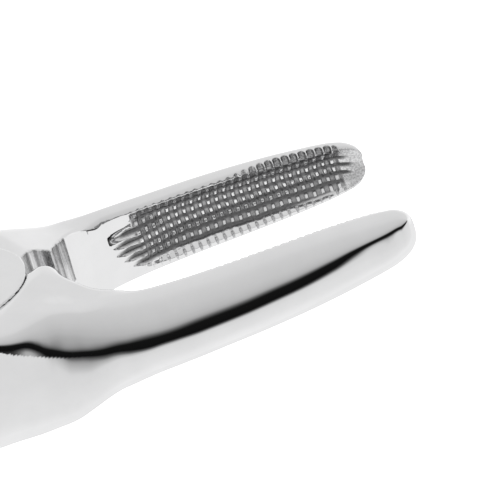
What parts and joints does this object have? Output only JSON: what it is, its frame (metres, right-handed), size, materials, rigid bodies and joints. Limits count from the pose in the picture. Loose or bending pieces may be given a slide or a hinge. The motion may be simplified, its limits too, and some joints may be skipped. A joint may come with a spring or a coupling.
{
  "type": "dental extraction forceps",
  "caption": "Steel tooth-extraction forceps: crossed halves turning on a screw, serrated hollow beaks and long knurled handles.",
  "frame": {"origin": "on the pivot axis, at the flat back face of the joint", "axes": "+Z along the pivot axis from the back of the joint to its front, +X from the pivot towards the beak tips, +Y towards the front half's beak"},
  "size_m": [0.1732, 0.0584, 0.0116],
  "materials": {
    "polished_steel": "mirror-polished stainless steel, with finely cut satin serrations inside the beaks",
    "screw_steel": "turned and polished stainless steel"
  },
  "bodies": {
    "rear": {"rear_half": "polished_steel", "pivot_screw": "screw_steel"},
    "front": {"front_half": "polished_steel"}
  },
  "joints": [
    {"name": "closing", "type": "hinge", "parent": "rear", "child": "front", "pos_m": [0, 0, 0.0058], "axis": [0, 0, -1], "range_deg": [0, 15]}
  ]
}
